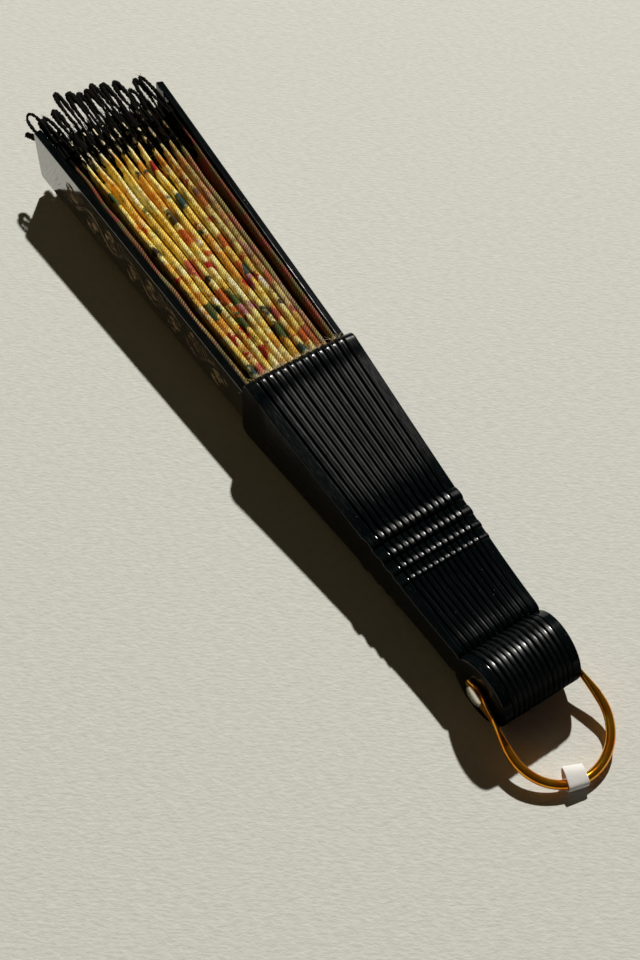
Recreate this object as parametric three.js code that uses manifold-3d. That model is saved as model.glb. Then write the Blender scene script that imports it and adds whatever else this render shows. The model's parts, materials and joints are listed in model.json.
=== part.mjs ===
// A closed folding fan: moulded sticks and two guards on one rivet, a pleated cloth leaf between the
// slips of the sticks, a lace edging with picot loops, and a wire bail that swings on the rivet.
// Millimetres, +Z up. X runs from the head to the tip and Y across the stack, along the rivet.
import * as THREE from "three";
import { mergeVertices } from "three/addons/utils/BufferGeometryUtils.js";
import Module from "manifold-3d";

const wasm = await Module();
wasm.setup();

// Stack of sticks, counted across Y
const innerSticks = 12;
const stickThickness = 1.3; // at the rivet
const shoulderThickness = 1.7; // at the shoulder
const stackGap = 0.3; // air between neighbours at the rivet
const spread = 0.007; // growth of the stick pitch for each millimetre from the rivet
const guardThickness = 2.7; // at the rivet
const guardShoulderThickness = 3.5;
const bladeThickness = 2.3;
const slipThickness = 0.8;

// Places along a stick, measured from the rivet
const headRadius = 10;
const largestBeadAt = 47;
const flareAt = 80; // fullest part of the flare's curve
const shoulderAt = 104.5;
const slipEndAt = 212;
const guardTipAt = 220;

// Half heights of the stick's two edges, which mirror each other in Z
const neckHalf = 4.7;
const waistHalf = 4.6;
const smallBeadHalf = 5.6; // edge below the smallest bead
const largeBeadHalf = 6.6; // edge beyond the largest bead
const flareHalf = 9.4;
const shoulderHalf = 12;
const shoulderRound = 3;
const slipRootHalf = 2.6;
const slipEndHalf = 2;
const bladeRootHalf = 7;
const bladeTipHalf = 10.2;
const tipRound = 1.5;
const guardEdgeBevel = 0.5;
const rootOverlap = 8; // how far a slip or blade is rooted inside its handle

// Rows of beads on the stick edges, each smaller than the one before it
const beadRows = 4;
const beadLength = 4.4;
const beadRise = 0.9;
const beadShrink = 0.76;
const beadGap = 1.6;

// Cloth leaf and lace edging
const leafThickness = 0.3;
const laceThickness = 0.4;
const clothClearance = 0.3; // between cloth, slips and guards
const hemGap = 0.5; // leaf hem to shoulder
const leafEndAt = 200;
const laceEndAt = 213;
const ridgeRootHalf = 7.3; // fold ridge above the stick axis at the shoulder
const ridgeEndHalf = 9.4; // fold ridge at the outer edge of the lace
const valleyRootHalf = 4.2; // fold valley below the stick axis at the shoulder
const valleyEndHalf = 10.2; // fold valley at the outer edge of the lace
const foldRoll = 2.4; // height of the rounded fold at a ridge
const foldFoot = 0.8; // height of the turn at a valley
const picotLength = 15; // loop beyond the lace band
const picotCord = 0.9; // cord diameter
const picotRoot = 1.5; // length of the loop's ends inside the band
const picotHigh = 1.4; // upper end of the loop below the ridge
const picotLow = 4.4; // lower end of the loop below the ridge
const picotNarrowAt = 5; // the loop is drawn in this far beyond the band
const picotWideAt = 11; // and widest here
const picotPinch = 0.15; // how far each side is drawn in

// Rivet
const rivetDiameter = 3;
const rivetClearance = 0.3;
const rivetHeadRadius = 3.25;
const rivetHeadHeight = 1.9;
const capSocketDepth = 1;

// Bail and its band
const wireDiameter = 2.5;
const bailClearance = 0.45; // bail to the guard's face
const eyeRadius = 4.4;
const eyeThickness = 1.3;
const eyeTabLength = 9; // rivet to the end of the flattened tab
const wireStart = 5; // rivet to the end of the round wire
const bowCentre = 17; // rivet to the centre of the bow
const bandLength = 4.6;
const bandWall = 0.4;
const bandClearance = 0.3;
const bandTurn = 0.25; // radians from the top of the bow towards the left guard
const bandLift = 0.3; // band above the surface that the sticks lie on

// Facets
const headFacets = 12;
const curveFacets = 4;
const turnFacets = 2;
const roundFacets = 16;
const wireFacets = 10;
const bailSteps = 44;
const picotFacets = 5;
const picotSteps = 12;
const weldDistance = 1e-4;

const plastic = () => new THREE.MeshStandardMaterial({ color: 0x0b0c0e, roughness: 0.25 });
const cotton = () => new THREE.MeshStandardMaterial({ color: 0xd8b75a, roughness: 0.9 });
const laceThread = () => new THREE.MeshStandardMaterial({ color: 0x14120f, roughness: 0.95 });
const gold = () => new THREE.MeshStandardMaterial({ color: 0xc8902f, roughness: 0.22, metalness: 1 });
const paleGold = () => new THREE.MeshStandardMaterial({ color: 0xe6d6ae, roughness: 0.3, metalness: 1 });
const whiteBand = () => new THREE.MeshStandardMaterial({ color: 0xf3f3ef, roughness: 0.6 });

// Sizes that follow from the driving dimensions
const gaps = innerSticks + 1;
const boreRadius = rivetDiameter / 2 + rivetClearance;
const boreCut = 2 * guardShoulderThickness; // runs past both faces of a guard
const pitchAt = (x) => stickThickness + stackGap + spread * x;
const planeAt = (place, x) => (gaps / 2 - place) * pitchAt(x);
const between = (from, to, share) => from + (to - from) * share;
const handleThickness = (x) => between(stickThickness, shoulderThickness, x / shoulderAt);
const guardHandleThickness = (x) => between(guardThickness, guardShoulderThickness, x / shoulderAt);
const leafShare = (x) => (x - shoulderAt) / (laceEndAt - shoulderAt);
const ridgeAt = (x) => between(ridgeRootHalf, ridgeEndHalf, leafShare(x));
const valleyAt = (x) => -between(valleyRootHalf, valleyEndHalf, leafShare(x));
const guardFace = (gaps / 2) * pitchAt(0) - stickThickness / 2 + guardThickness;
const eyeFace = guardFace + bailClearance;
const bailHalf = eyeFace + wireDiameter / 2;
const bandRadius = wireDiameter / 2 + bandClearance + bandWall;

// Booleans on closed geometries
function solid(geometry) {
  const bare = geometry.clone();
  bare.deleteAttribute("normal");
  bare.deleteAttribute("uv");
  const merged = mergeVertices(bare, weldDistance);
  const vertProperties = new Float32Array(merged.attributes.position.array);
  const triVerts = new Uint32Array(merged.index.array);
  return new wasm.Manifold(new wasm.Mesh({ numProp: 3, vertProperties, triVerts }));
}

function geometryOf(manifold) {
  const mesh = manifold.getMesh();
  const geometry = new THREE.BufferGeometry();
  geometry.setAttribute("position", new THREE.BufferAttribute(mesh.vertProperties, 3));
  geometry.setIndex(new THREE.BufferAttribute(mesh.triVerts, 1));
  const flat = geometry.toNonIndexed();
  flat.computeVertexNormals();
  return flat;
}

function piece(name, geometry, material) {
  const mesh = new THREE.Mesh(geometry, material);
  mesh.name = name;
  return mesh;
}

const numbered = (name, count) => `${name}_${String(count).padStart(2, "0")}`;

// A plate one unit thick about Y = 0 from an outline in X and Z, its rim bevelled by the given width
function unitPlate(outline, holes = [], bevel = 0, thickness = 1) {
  const shape = new THREE.Shape(outline);
  shape.holes.push(...holes.map((points) => new THREE.Path(points)));
  const bevelDepth = bevel / thickness;
  const geometry = new THREE.ExtrudeGeometry(shape, {
    depth: 1 - 2 * bevelDepth,
    bevelEnabled: bevel > 0,
    bevelThickness: bevelDepth,
    bevelSize: bevel,
    bevelOffset: -bevel,
    bevelSegments: 1,
  });
  geometry.translate(0, 0, bevelDepth - 0.5);
  geometry.rotateX(Math.PI / 2);
  return geometry;
}

// Gives a unit plate its wedge of thickness and lays it on a leaning plane
function leanPlate(geometry, middleAt, thicknessAt) {
  const position = geometry.attributes.position;
  for (let i = 0; i < position.count; i += 1) {
    const x = position.getX(i);
    position.setY(i, middleAt(x) + position.getY(i) * thicknessAt(x));
  }
  return geometry;
}

function circle(radius, facets) {
  return new THREE.EllipseCurve(0, 0, radius, radius, 0, 2 * Math.PI).getPoints(facets).slice(0, -1);
}

// Upper edge of a handle from the end of the head to the shoulder
function handleEdge() {
  const neckAngle = Math.asin(neckHalf / headRadius);
  const head = new THREE.EllipseCurve(0, 0, headRadius, headRadius, Math.PI, neckAngle, true);
  const points = head.getPoints(headFacets);

  const rows = [];
  let middle = largestBeadAt;
  for (let row = 0; row < beadRows; row += 1) {
    const size = beadShrink ** row;
    const reach = (beadLength * size) / 2;
    rows.unshift({ middle, reach, rise: beadRise * size });
    middle -= reach * (1 + beadShrink) + beadGap;
  }
  const beadsFrom = rows[0].middle - rows[0].reach;
  const beadsTo = largestBeadAt + beadLength / 2;
  const edgeAt = (x) => between(smallBeadHalf, largeBeadHalf, (x - beadsFrom) / (beadsTo - beadsFrom));

  const neck = points[points.length - 1];
  const waist = new THREE.Vector2((neck.x + beadsFrom) / 2, waistHalf);
  const shankEnd = new THREE.Vector2(beadsFrom, smallBeadHalf);
  const shank = new THREE.QuadraticBezierCurve(neck, waist, shankEnd);
  points.push(...shank.getPoints(curveFacets).slice(1, -1));

  for (const { middle: x, reach, rise } of rows) {
    const bead = new THREE.EllipseCurve(0, 0, reach, rise, Math.PI, 0, true).getPoints(curveFacets);
    points.push(...bead.map((point) => new THREE.Vector2(x + point.x, edgeAt(x + point.x) + point.y)));
  }

  const flareStart = points[points.length - 1];
  const corner = new THREE.Vector2(shoulderAt - shoulderRound, shoulderHalf);
  const flare = new THREE.QuadraticBezierCurve(flareStart, new THREE.Vector2(flareAt, flareHalf), corner);
  points.push(...flare.getPoints(curveFacets).slice(1, -1));
  const round = new THREE.EllipseCurve(
    corner.x,
    shoulderHalf - shoulderRound,
    shoulderRound,
    shoulderRound,
    Math.PI / 2,
    0,
    true,
  );
  points.push(...round.getPoints(curveFacets));
  return points;
}

// The edge and its mirror image make a closed outline
function mirrored(edge) {
  const clear = edge.filter((point) => Math.abs(point.y) > weldDistance);
  const lower = clear.map((point) => new THREE.Vector2(point.x, -point.y));
  return [...edge, ...lower.reverse()];
}

const handleOutline = mirrored(handleEdge());

function slipOutline() {
  return mirrored([
    new THREE.Vector2(shoulderAt - rootOverlap, slipRootHalf),
    new THREE.Vector2(shoulderAt, slipRootHalf),
    new THREE.Vector2(slipEndAt - slipEndHalf, slipEndHalf),
    new THREE.Vector2(slipEndAt, slipEndHalf / 2),
  ]);
}

function bladeOutline() {
  const tip = new THREE.EllipseCurve(
    guardTipAt - tipRound,
    bladeTipHalf - tipRound,
    tipRound,
    tipRound,
    Math.PI / 2,
    0,
    true,
  );
  return mirrored([
    new THREE.Vector2(shoulderAt - rootOverlap, bladeRootHalf),
    new THREE.Vector2(shoulderAt, bladeRootHalf),
    ...tip.getPoints(curveFacets),
  ]);
}

function innerStick(place) {
  const middleAt = (x) => planeAt(place, x);
  const handle = unitPlate(handleOutline, [circle(boreRadius, roundFacets)]);
  const slip = unitPlate(slipOutline());
  leanPlate(handle, middleAt, handleThickness);
  leanPlate(slip, middleAt, () => slipThickness);
  const stick = geometryOf(solid(handle).add(solid(slip)));
  return piece(numbered("stick", place), stick, plastic());
}

// A guard takes the place of the end stick, with its extra thickness and its blade on the outside
function guard(name, place) {
  const outward = Math.sign(gaps / 2 - place);
  const innerFace = (x) => planeAt(place, x) - (outward * handleThickness(x)) / 2;
  const handleMiddle = (x) => innerFace(x) + (outward * guardHandleThickness(x)) / 2;
  const bladeMiddle = (x) => planeAt(place, x) + (outward * bladeThickness) / 2;
  const handle = unitPlate(handleOutline, [], guardEdgeBevel, guardThickness);
  const blade = unitPlate(bladeOutline(), [], guardEdgeBevel, bladeThickness);
  leanPlate(handle, handleMiddle, guardHandleThickness);
  leanPlate(blade, bladeMiddle, () => bladeThickness);
  const bore = new THREE.CylinderGeometry(boreRadius, boreRadius, boreCut, roundFacets);
  bore.translate(0, handleMiddle(0), 0);
  return piece(name, geometryOf(solid(handle).add(solid(blade)).subtract(solid(bore))), plastic());
}

// Middle line of one fold in Y and Z: a foot on each slip's plane, two flanks and a rolled ridge
function foldLine(x, thickness) {
  const half = pitchAt(x) / 2;
  const ridge = ridgeAt(x);
  const valley = valleyAt(x);
  const foot = half - clothClearance / 2;
  const flank = half - slipThickness / 2 - clothClearance - thickness / 2;
  const roll = half - clothClearance / 2 - thickness / 2;
  const rollHalf = foldRoll / 2;
  const turnTop = valley + foldFoot;
  const turn = new THREE.EllipseCurve(foot, turnTop, foot - flank, foldFoot, -Math.PI / 2, -Math.PI, true);
  const entry = -Math.acos(flank / roll);
  const crown = new THREE.EllipseCurve(0, ridge - rollHalf, roll, rollHalf, entry, Math.PI / 2);
  const side = [...turn.getPoints(turnFacets), ...crown.getPoints(curveFacets)];
  const far = side.slice(0, -1).map((point) => new THREE.Vector2(-point.x, point.y));
  return [...side, ...far.reverse()];
}

// Closed ring of a cloth section: the line set off to one side and back along the other
function clothRing(line, thickness) {
  const offset = (side) =>
    line.map((point, i) => {
      const before = line[Math.max(i - 1, 0)];
      const after = line[Math.min(i + 1, line.length - 1)];
      const along = after.clone().sub(before).normalize();
      return new THREE.Vector2(point.x - along.y * side, point.y + along.x * side);
    });
  const ring = [...offset(thickness / 2), ...offset(-thickness / 2).reverse()];
  return THREE.ShapeUtils.isClockWise(ring) ? ring.reverse() : ring;
}

// Joins equal anticlockwise rings at several stations along X into one closed body
function loft(rings, stations, middleAt) {
  const vertices = rings.flatMap((ring, k) =>
    ring.flatMap((point) => [stations[k], middleAt(stations[k]) + point.x, point.y]),
  );
  const size = rings[0].length;
  const faces = [];
  for (let k = 0; k + 1 < rings.length; k += 1) {
    for (let i = 0; i < size; i += 1) {
      const next = (i + 1) % size;
      const low = k * size;
      const high = low + size;
      faces.push(low + i, low + next, high + next, low + i, high + next, high + i);
    }
  }
  const last = (rings.length - 1) * size;
  const caps = (ring) => THREE.ShapeUtils.triangulateShape(ring, []);
  caps(rings[0]).forEach(([a, b, c]) => faces.push(a, c, b));
  caps(rings[rings.length - 1]).forEach(([a, b, c]) => faces.push(last + a, last + b, last + c));
  const geometry = new THREE.BufferGeometry();
  geometry.setAttribute("position", new THREE.Float32BufferAttribute(vertices, 3));
  geometry.setIndex(faces);
  return geometry;
}

// Cloth of one gap between sticks, from one station to another
function foldedCloth(gap, from, to, thickness) {
  const middleAt = (x) => (planeAt(gap - 1, x) + planeAt(gap, x)) / 2;
  const stations = [from, to];
  const rings = stations.map((x) => clothRing(foldLine(x, thickness), thickness));
  return loft(rings, stations, middleAt);
}

function leafPleat(gap) {
  const cloth = foldedCloth(gap, shoulderAt + hemGap, leafEndAt, leafThickness);
  return piece(numbered("leaf_pleat", gap), geometryOf(solid(cloth)), cotton());
}

// Lace band of one gap with the picot loop that stands on its fold
function laceEdge(gap) {
  const band = foldedCloth(gap, leafEndAt + clothClearance, laceEndAt, laceThickness);
  const middleAt = (x) => (planeAt(gap - 1, x) + planeAt(gap, x)) / 2;
  const ridge = ridgeAt(laceEndAt);
  const reach = pitchAt(laceEndAt) / 2 - picotCord / 2 - clothClearance;
  const loopPoint = (along, side, drop) => {
    const x = laceEndAt + along;
    return new THREE.Vector3(x, middleAt(x) + side, ridge - drop);
  };
  const centre = (picotHigh + picotLow) / 2;
  const route = new THREE.CatmullRomCurve3([
    loopPoint(-picotRoot, reach, picotHigh),
    loopPoint(picotNarrowAt, reach - picotPinch, picotHigh + picotPinch),
    loopPoint(picotWideAt, reach, picotHigh),
    loopPoint(picotLength - picotCord / 2, 0, centre),
    loopPoint(picotWideAt, -reach, picotLow),
    loopPoint(picotNarrowAt, picotPinch - reach, picotLow - picotPinch),
    loopPoint(-picotRoot, -reach, picotLow),
  ]);
  const section = new THREE.Shape(circle(picotCord / 2, picotFacets));
  const cord = new THREE.ExtrudeGeometry(section, {
    steps: picotSteps,
    extrudePath: route,
    bevelEnabled: false,
  });
  return piece(numbered("lace_edge", gap), geometryOf(solid(band).add(solid(cord))), laceThread());
}

// Profile of a domed rivet head from its rim to its crown, in radius and distance along the rivet
function domeProfile(face) {
  const dome = new THREE.EllipseCurve(0, face, rivetHeadRadius, rivetHeadHeight, 0, Math.PI / 2);
  const points = dome.getPoints(curveFacets);
  points[points.length - 1].x = 0;
  return points;
}

const rivetFace = eyeFace + eyeThickness + rivetClearance;

function rivetPin() {
  const radius = rivetDiameter / 2;
  const end = rivetFace + capSocketDepth - rivetClearance;
  const profile = [
    new THREE.Vector2(0, -end),
    new THREE.Vector2(radius, -end),
    new THREE.Vector2(radius, rivetFace),
    ...domeProfile(rivetFace),
  ];
  return piece("rivet_pin", new THREE.LatheGeometry(profile, roundFacets), paleGold());
}

function rivetCap() {
  const profile = [
    new THREE.Vector2(0, rivetFace + capSocketDepth),
    new THREE.Vector2(boreRadius, rivetFace + capSocketDepth),
    new THREE.Vector2(boreRadius, rivetFace),
    ...domeProfile(rivetFace),
  ];
  const cap = new THREE.LatheGeometry(profile, roundFacets);
  cap.rotateX(Math.PI);
  return piece("rivet_cap", cap, paleGold());
}

// Middle line of the bail wire: a straight leg, a half round bow and the other leg, in X and Y
class BailLine extends THREE.Curve {
  getPoint(share, target = new THREE.Vector3()) {
    const leg = bowCentre - wireStart;
    const bow = Math.PI * bailHalf;
    const along = share * (2 * leg + bow);
    if (along < leg) return target.set(-wireStart - along, bailHalf, 0);
    if (along > leg + bow) return target.set(-bowCentre - leg - bow + along, -bailHalf, 0);
    const turn = (along - leg) / bailHalf;
    return target.set(-bowCentre - bailHalf * Math.sin(turn), bailHalf * Math.cos(turn), 0);
  }
}

// Flattened end of the bail wire with the eye for the rivet
function bailTab(side) {
  const half = wireDiameter / 2;
  const lean = Math.acos((eyeRadius - half) / eyeTabLength);
  const eye = new THREE.EllipseCurve(0, 0, eyeRadius, eyeRadius, Math.PI - lean, lean - Math.PI, true);
  const outline = [
    ...eye.getPoints(headFacets),
    new THREE.Vector2(-eyeTabLength, -half),
    new THREE.Vector2(-eyeTabLength, half),
  ];
  const tab = unitPlate(outline, [circle(boreRadius, roundFacets)]);
  return leanPlate(tab, () => side * (eyeFace + eyeThickness / 2), () => eyeThickness);
}

function bail() {
  const section = new THREE.Shape(circle(wireDiameter / 2, wireFacets));
  const wire = new THREE.ExtrudeGeometry(section, {
    steps: bailSteps,
    extrudePath: new BailLine(),
    bevelEnabled: false,
  });
  const whole = solid(wire).add(solid(bailTab(1))).add(solid(bailTab(-1)));
  return piece("bail", geometryOf(whole), gold());
}

// Band wrapped round the bow, a sleeve along the wire
function bailBand() {
  const outer = new THREE.Shape(circle(bandRadius, roundFacets));
  outer.holes.push(new THREE.Path(circle(bandRadius - bandWall, roundFacets)));
  const sleeve = new THREE.ExtrudeGeometry(outer, { depth: bandLength, bevelEnabled: false });
  sleeve.translate(0, 0, -bandLength / 2);
  sleeve.rotateX(Math.PI / 2);
  sleeve.translate(-bailHalf, 0, 0);
  sleeve.rotateZ(-bandTurn);
  sleeve.translate(-bowCentre, 0, 0);
  return piece("bail_band", sleeve, whiteBand());
}

// Sticks, leaf, lace and rivet turn as one pack on the stick axis
const pack = new THREE.Group();
pack.add(guard("left_guard", 0));
for (let place = 1; place <= innerSticks; place += 1) pack.add(innerStick(place));
pack.add(guard("right_guard", gaps));
for (let gap = 1; gap <= gaps; gap += 1) pack.add(leafPleat(gap), laceEdge(gap));
pack.add(rivetPin(), rivetCap());

// The pack lies on its heads and its shoulders, so its axis climbs towards the tip
const cornerX = shoulderAt - shoulderRound;
const cornerZ = shoulderHalf - shoulderRound;
const cornerReach = Math.hypot(cornerX, cornerZ);
const climb = Math.atan2(cornerZ, cornerX) + Math.asin((shoulderRound - headRadius) / cornerReach);
pack.rotation.y = -climb;

// The bail hangs from the rivet until its band is just above the same surface
const swing = new THREE.Group();
swing.add(bail(), bailBand());
const bandReach = bowCentre + bailHalf * Math.cos(bandTurn);
swing.rotation.y = -Math.asin((headRadius - bandRadius - bandLift) / bandReach);

// The origin is under the middle of the fan, on the surface that it lies on
const lying = new THREE.Group();
lying.add(pack, swing);
const box = new THREE.Box3().setFromObject(lying, true);
const middle = box.getCenter(new THREE.Vector3());
lying.position.set(-middle.x, -middle.y, -box.min.z);

const fan = new THREE.Group();
fan.add(lying);

export default fan;
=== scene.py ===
import bmesh
import bpy
import json
import math
import random
from bmesh.types import BMEdge, BMVert
from mathutils import Matrix, Vector


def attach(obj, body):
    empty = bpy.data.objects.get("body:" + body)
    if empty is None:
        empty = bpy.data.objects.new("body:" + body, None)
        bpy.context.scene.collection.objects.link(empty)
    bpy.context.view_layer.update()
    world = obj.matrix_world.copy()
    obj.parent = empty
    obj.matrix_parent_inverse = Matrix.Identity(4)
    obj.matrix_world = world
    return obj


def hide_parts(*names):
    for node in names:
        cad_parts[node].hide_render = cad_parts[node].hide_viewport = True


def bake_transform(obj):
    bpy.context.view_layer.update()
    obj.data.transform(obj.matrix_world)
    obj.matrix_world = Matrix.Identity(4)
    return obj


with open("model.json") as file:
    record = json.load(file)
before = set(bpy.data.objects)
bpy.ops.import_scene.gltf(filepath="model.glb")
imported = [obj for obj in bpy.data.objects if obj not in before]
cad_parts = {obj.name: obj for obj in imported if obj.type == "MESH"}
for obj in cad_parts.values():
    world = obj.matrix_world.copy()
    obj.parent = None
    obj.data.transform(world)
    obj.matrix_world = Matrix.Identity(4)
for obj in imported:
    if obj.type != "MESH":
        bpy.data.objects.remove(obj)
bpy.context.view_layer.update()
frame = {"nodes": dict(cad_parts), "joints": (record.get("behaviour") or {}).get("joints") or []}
print("frame loaded:", len(frame["nodes"]), "nodes")

# The stack of sticks, in millimetres from the rivet: X to the tip, Y along the rivet, Z up
stack = dict(
    sticks=12, pitch=1.6, spread=0.007,
    stick=1.3, stickShoulder=1.7, slip=0.8,
    guard=2.7, guardShoulder=3.5, blade=2.3,
    headRadius=10.0, shoulderAt=104.5, shoulderHalf=12.0, shoulderRound=3.0,
)
gaps = stack["sticks"] + 1
bodies = ["left_guard"] + ["stick_%02d" % n for n in range(1, gaps)] + ["right_guard"]
seeds = dict(stick=60, wear=90, pleats=31, hem=500, laceStart=70, lace=900)
mm = 0.001  # one millimetre, in metres


def between(low, high, share):
    return low + (high - low) * share


def ease(value, start, end):
    share = min(max((value - start) / (end - start), 0.0), 1.0)
    return share * share * (3 - 2 * share)


def pitchAt(x):
    return stack["pitch"] + stack["spread"] * x


def planeAt(place, x):
    return (gaps / 2 - place) * pitchAt(x)


# The stack lies on its heads and shoulders, so the stick axis climbs a little
pivot = Vector(frame["joints"][0]["pos_m"])
cornerX = stack["shoulderAt"] - stack["shoulderRound"]
cornerZ = stack["shoulderHalf"] - stack["shoulderRound"]
climb = math.atan2(cornerZ, cornerX)
climb += math.asin((stack["shoulderRound"] - stack["headRadius"]) / math.hypot(cornerX, cornerZ))
millimetres = Matrix.Diagonal((mm, mm, mm, 1))
lie = Matrix.Translation(pivot) @ Matrix.Rotation(-climb, 4, "Y") @ millimetres


def newObject(name, data):
    made = bpy.data.objects.new(name, data)
    bpy.context.collection.objects.link(made)
    return made


# Camera at the photograph's place, for a frame of 640 by 960
view = dict(
    focal=1344.5, frameHeight=960, sensor=36, nearest=0.01,
    yaw=-35.63, pitch=57.74, roll=3.02, place=(-85.4, 125.7, 319.7),
)


def placeCamera():
    yaw, pitch, roll = (math.radians(view[key]) for key in ("yaw", "pitch", "roll"))
    ahead = Vector((math.cos(yaw) * math.cos(pitch), math.sin(yaw) * math.cos(pitch), -math.sin(pitch)))
    level = Vector((math.sin(yaw), -math.cos(yaw), 0))
    upright = level.cross(ahead)
    across = level * math.cos(roll) + upright * math.sin(roll)
    up = upright * math.cos(roll) - level * math.sin(roll)
    lens = bpy.data.cameras.new("camera")
    lens.sensor_width = view["sensor"]
    lens.lens = view["focal"] * view["sensor"] / view["frameHeight"]
    lens.clip_start = view["nearest"]
    camera = newObject("camera", lens)
    turn = Matrix((across, up, -ahead)).transposed().to_4x4()
    place = Vector(view["place"]) * mm + Vector((pivot.x, 0, 0))
    camera.matrix_world = Matrix.Translation(place) @ turn
    bpy.context.scene.camera = camera


# Studio light: a key from beyond the tip, a warm panel above the left guard and a dim surround
lighting = dict(
    keyLight=dict(source=(0.505, -0.455, 0.73), reach=5.0, size=0.14, power=272.0, tint=(1.0, 0.97, 0.91)),
    panelLight=dict(source=(0.45, 0.5, 0.72), reach=1.2, size=1.2, power=0.42, tint=(1.0, 0.68, 0.22)),
)
surround = dict(tint=(1.0, 0.93, 0.82), power=0.014)


def areaLight(name, source, reach, size, power, tint):
    light = bpy.data.lights.new(name, "AREA")
    light.shape = "DISK"
    light.size = size
    light.energy = power
    light.color = tint
    lamp = newObject(name, light)
    toward = Vector(source).normalized()
    lamp.location = toward * reach
    lamp.rotation_mode = "QUATERNION"
    lamp.rotation_quaternion = (-toward).to_track_quat("-Z", "Y")


def placeLights():
    for name, settings in lighting.items():
        areaLight(name, **settings)
    world = bpy.data.worlds.new("surround")
    world.use_nodes = True
    sky = world.node_tree.nodes["Background"]
    sky.inputs["Color"].default_value = (*surround["tint"], 1)
    sky.inputs["Strength"].default_value = surround["power"]
    bpy.context.scene.world = world
    bpy.context.scene.view_settings.view_transform = "Standard"


placeCamera()
placeLights()
print("camera and lights placed")


# Shader maths: a value wraps a socket, and sums and products add their Math nodes
class Tone:
    def __init__(self, tree, socket=None):
        self.tree = tree
        self.socket = socket

    def node(self, kind, settings=None, sockets=None, out=0):
        made = self.tree.nodes.new(kind)
        for key, value in (settings or {}).items():
            if key == "stops":
                ramp = made.color_ramp
                while len(ramp.elements) < len(value):
                    ramp.elements.new(1.0)
                for element, (place, colour) in zip(ramp.elements, value):
                    element.position = place
                    element.color = (*colour, 1)
            elif key == "rampKind":
                made.color_ramp.interpolation = value
            else:
                setattr(made, key, value)
        for key, value in (sockets or {}).items():
            if isinstance(value, Tone):
                self.tree.links.new(value.socket, made.inputs[key])
            else:
                made.inputs[key].default_value = value
        return Tone(self.tree, made.outputs[out])

    def math(self, operation, first, second=0.0):
        return self.node("ShaderNodeMath", {"operation": operation}, {0: first, 1: second})

    def __add__(self, other):
        return self.math("ADD", self, other)

    def __radd__(self, other):
        return self.math("ADD", other, self)

    def __sub__(self, other):
        return self.math("SUBTRACT", self, other)

    def __rsub__(self, other):
        return self.math("SUBTRACT", other, self)

    def __mul__(self, other):
        return self.math("MULTIPLY", self, other)

    def __rmul__(self, other):
        return self.math("MULTIPLY", other, self)

    def step(self, low, high):
        return self.node("ShaderNodeMapRange", {"interpolation_type": "SMOOTHSTEP"},
                         {"Value": self, "From Min": low, "From Max": high})

    def over(self, low, high):
        return self.node("ShaderNodeMix", {"data_type": "RGBA"}, {0: self, 6: low, 7: high}, 2)


def startFinish(name, **constants):
    finish = bpy.data.materials.new(name)
    finish.use_nodes = True
    tree = finish.node_tree
    shader = tree.nodes["Principled BSDF"]
    for key, value in constants.items():
        shader.inputs[key.replace("_", " ")].default_value = value
    return finish, Tone(tree), shader


def feed(shader, **tones):
    for key, tone in tones.items():
        tone.tree.links.new(tone.socket, shader.inputs[key.replace("_", " ")])


def objectPlace(tone):
    return tone.node("ShaderNodeTexCoord", out="Object")


def noiseOn(tone, place, scale, detail=3.0, rough=0.55):
    return tone.node("ShaderNodeTexNoise", None,
                     {"Vector": place, "Scale": scale, "Detail": detail, "Roughness": rough})


def bumpOf(tone, height, strength, distance):
    return tone.node("ShaderNodeBump", None,
                     {"Height": height, "Strength": strength, "Distance": distance})


def attributeOn(tone, name):
    return tone.node("ShaderNodeAttribute", {"attribute_name": name}, None, "Fac")


# A place pushed about at random, so that cells and meshes lose their straight sides
def wandering(tone, cloth, place, scale, amount):
    noise = {"Vector": cloth, "Scale": scale, "Detail": 2.0}
    wander = tone.node("ShaderNodeTexNoise", None, noise, "Color")
    shift = tone.node("ShaderNodeVectorMath", {"operation": "SCALE"}, {0: wander, "Scale": amount})
    return tone.node("ShaderNodeVectorMath", {"operation": "ADD"}, {0: place, 1: shift})


def colour(red, green, blue):
    return (red, green, blue, 1.0)


# Polished black moulding with fine draw lines and a little dust, duller where hands have rubbed it. Its
# faint blue-green tint is painted reflection of a cool sky, the pale streaks along its draw lines are
# painted sheen, and the matte mix on the back of the heads is painted shade.
def blackMoulding(name, **gloss):
    finish, tone, shader = startFinish(name, **gloss)
    place = objectPlace(tone)
    cloud = noiseOn(tone, place, scale=70.0)
    along = tone.node("ShaderNodeMapping", None, {"Vector": place, "Scale": (45.0, 2600.0, 2600.0)})
    draw = noiseOn(tone, along, scale=1.0, detail=4.0)
    specks = noiseOn(tone, place, scale=1500.0, detail=1.0).step(0.74, 0.8) * cloud.step(0.45, 0.6)
    rubbed = attributeOn(tone, "rubbed")
    # painted reflection: the blue-green in this black stands for a cool sky reflected in the moulding
    black = cloud.over(colour(0.0009, 0.0022, 0.0026), colour(0.0022, 0.0042, 0.0046))
    # painted sheen: pale streaks laid along the draw lines
    sheenStreaked = (draw.step(0.52, 0.72) * 0.6).over(black, colour(0.013, 0.016, 0.016))
    nap = draw + noiseOn(tone, place, scale=500.0) * 0.5
    feed(shader,
         Base_Color=(specks * 0.4).over(sheenStreaked, colour(0.16, 0.15, 0.13)),
         Roughness=0.05 + draw * 0.1 + rubbed * (0.07 + draw * 0.3) + specks * 0.3,
         Normal=bumpOf(tone, nap, strength=0.1, distance=0.00012))
    # painted shade: a glossless black mixed in over the lower back of the heads
    dull = attributeOn(tone, "dull")
    matt = tone.node("ShaderNodeBsdfPrincipled", None,
                     {"Base Color": black, "Roughness": 0.7, "Specular IOR Level": 0.0})
    both = tone.node("ShaderNodeMixShader", None, {0: dull, 1: Tone(tone.tree, shader.outputs[0]), 2: matt})
    tone.tree.links.new(both.socket, tone.tree.nodes["Material Output"].inputs["Surface"])
    return finish


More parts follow.
